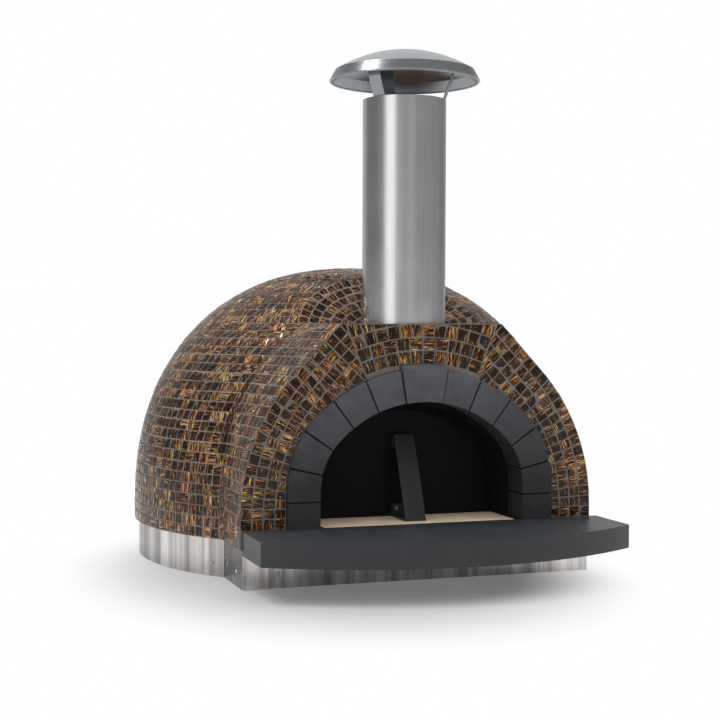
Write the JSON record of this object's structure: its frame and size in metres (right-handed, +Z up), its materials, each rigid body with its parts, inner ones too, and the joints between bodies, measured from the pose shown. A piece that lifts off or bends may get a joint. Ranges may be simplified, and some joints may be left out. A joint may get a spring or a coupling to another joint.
{
  "type": "wood fired pizza oven",
  "caption": "Mosaic-clad domed wood fired oven on a round steel base, with a stone arch, curved landing shelf, chimney with rain cap and a lift-out propped door.",
  "frame": {"origin": "on the ground plane, under the middle of the mosaic front face", "axes": "+X to the right seen from the front, +Y from the mouth towards the back of the dome, +Z up"},
  "size_m": [0.9808, 1.2004, 1.0775],
  "materials": {
    "galvanised": "dull zinc-coated sheet",
    "brushed_steel": "fine brushed stainless",
    "cap_steel": "spun stainless, lightly hazed",
    "fastener": "plain",
    "concrete": "cast, matt",
    "board": "calcium silicate, matt",
    "firebrick": "pale beige firebrick, matt",
    "shelf": "sealed charcoal cast stone, satin",
    "refractory": "cast refractory, matt",
    "blanket": "ceramic fibre",
    "render": "insulating render, matt",
    "mosaic": "brown glass mosaic with copper streaks and grey grout",
    "stone": "charcoal cast stone, matt",
    "mortar": "dark mortar, matt",
    "door_black": "matt heat-proof paint",
    "strap_black": "matt heat-proof paint"
  },
  "bodies": {
    "oven": {"base_pan": "galvanised", "base_band": "brushed_steel", "front_skirt": "brushed_steel", "base_screws": "fastener", "base_slab": "concrete", "hearth_board": "board", "hearth_tiles": "firebrick", "landing_shelf": "shelf", "inner_dome": "refractory", "entry_vault": "stone", "dome_blanket": "blanket", "outer_render": "render", "dome_mosaic": "mosaic", "deck_mosaic": "mosaic", "face_mosaic": "mosaic", "arch_keystone": "stone", "arch_mortar": "mortar", "arch_stone_r1": "stone", "arch_stone_r2": "stone", "arch_stone_r3": "stone", "arch_stone_r4": "stone", "arch_stone_r5": "stone", "arch_stone_r6": "stone", "arch_stone_l1": "stone", "arch_stone_l2": "stone", "arch_stone_l3": "stone", "arch_stone_l4": "stone", "arch_stone_l5": "stone", "arch_stone_l6": "stone", "flue_box": "galvanised", "flue_collar": "galvanised"},
    "chimney": {"chimney_pipe": "brushed_steel"},
    "rain_cap": {"cap_hood": "cap_steel", "cap_straps": "cap_steel"},
    "door": {"door_panel": "door_black", "door_core": "board", "door_strap": "strap_black", "door_bolts": "fastener"}
  },
  "joints": [
    {"name": "chimney_lift", "type": "slide", "parent": "oven", "child": "chimney", "axis": [0, 0, 1], "range_m": [0, 0.12]},
    {"name": "cap_lift", "type": "slide", "parent": "chimney", "child": "rain_cap", "axis": [0, 0, 1], "range_m": [0, 0.1]},
    {"name": "door_slide", "type": "slide", "parent": "oven", "child": "door", "axis": [0, -1, 0], "range_m": [0, 0.46]}
  ]
}
